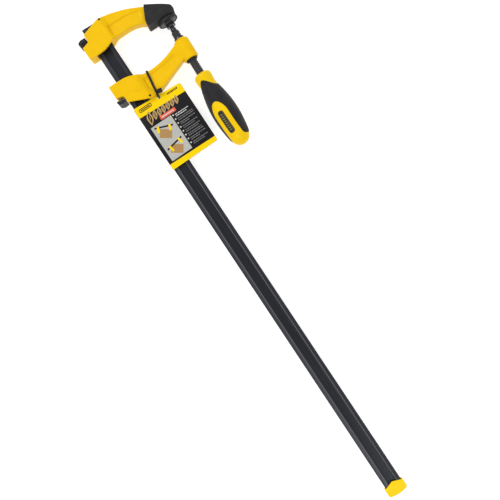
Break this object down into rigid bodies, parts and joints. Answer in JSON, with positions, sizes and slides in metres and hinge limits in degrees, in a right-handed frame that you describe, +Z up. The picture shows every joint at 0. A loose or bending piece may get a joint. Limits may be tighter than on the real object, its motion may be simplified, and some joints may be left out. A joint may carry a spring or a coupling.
{
  "type": "f clamp",
  "caption": "Bar clamp with a grooved steel bar, cast heads, a threaded spindle with swivel pad, a soft-grip handle, release buttons and a hang tag.",
  "frame": {"origin": "where the screw's axis meets the fixed jaw's clamping face", "axes": "+X along the bar from the jaws to the tail, +Y from the bar to the jaw tips, +Z up as the clamp lies flat"},
  "size_m": [0.7649, 0.1345, 0.0368],
  "materials": {
    "bar_steel": "dark blue-grey satin enamel on rolled steel",
    "yellow_cast": "glossy yellow powder coat on a casting",
    "yellow_plastic": "semi-gloss moulded plastic",
    "rubber": "matte, finely pebbled",
    "plain_steel": "bright machined steel",
    "dark_steel": "black oxide, satin",
    "screw_steel": "black oxide on rolled thread, worn crests",
    "black_plastic": "fine spark-eroded texture",
    "handle_yellow": "glossy moulded plastic",
    "grip_rubber": "matte soft overmould",
    "card": "laminated printed card"
  },
  "bodies": {
    "bar": {"bar": "bar_steel", "end_cap": "yellow_plastic", "fixed_head": "yellow_cast", "fixed_jaw_cap": "rubber", "fixed_bite_block": "plain_steel", "fixed_cross_pin": "dark_steel", "fixed_button_spring": "plain_steel"},
    "fixed_button": {"fixed_release_button": "black_plastic"},
    "sliding_head": {"sliding_head": "yellow_cast", "sliding_bite_block": "plain_steel", "sliding_cross_pin": "dark_steel", "sliding_button_spring": "plain_steel", "thread_insert": "dark_steel", "insert_snap_ring": "dark_steel", "hang_tag": "card", "cable_tie": "black_plastic"},
    "sliding_button": {"sliding_release_button": "black_plastic"},
    "screw_carriage": {"pad_keeper_ring": "plain_steel"},
    "screw": {"spindle": "screw_steel", "handle_core": "handle_yellow", "handle_grip": "grip_rubber", "handle_badge": "black_plastic", "handle_cross_pin": "plain_steel"},
    "ball_cup": {"pad_ball_cup": "plain_steel"},
    "pad": {"swivel_pad": "dark_steel", "swivel_pad_shoe": "black_plastic"}
  },
  "joints": [
    {"name": "head_slide", "type": "slide", "parent": "bar", "child": "sliding_head", "axis": [1, 0, 0], "range_m": [0, 0.616]},
    {"name": "screw_feed", "type": "slide", "parent": "sliding_head", "child": "screw_carriage", "axis": [0.9997, -0.0244, 0], "range_m": [0, 0.015]},
    {"name": "screw_turn", "type": "hinge", "parent": "screw_carriage", "child": "screw", "pos_m": [0.0094, 0, 0], "axis": [0.9997, -0.0244, 0], "range_deg": [0, 1800.1]},
    {"name": "pad_tilt_up", "type": "hinge", "parent": "screw_carriage", "child": "ball_cup", "pos_m": [0.0094, 0, 0], "axis": [0, 1, 0], "range_deg": [-6, 6]},
    {"name": "pad_tilt_side", "type": "hinge", "parent": "ball_cup", "child": "pad", "pos_m": [0.0094, 0, 0], "axis": [0, 0, 1], "range_deg": [-6, 6]},
    {"name": "fixed_button_press", "type": "slide", "parent": "bar", "child": "fixed_button", "axis": [1, 0, 0], "range_m": [0, 0.003], "stiffness_N_per_m": 600, "springref_m": -0.004, "deforming": ["fixed_button_spring"]},
    {"name": "sliding_button_press", "type": "slide", "parent": "sliding_head", "child": "sliding_button", "axis": [-1, 0, 0], "range_m": [0, 0.003], "stiffness_N_per_m": 600, "springref_m": -0.004, "deforming": ["sliding_button_spring"]}
  ],
  "couplings": [
    {"joint": "screw_turn", "follows": "screw_feed", "rad_per_m": 2094.4}
  ]
}
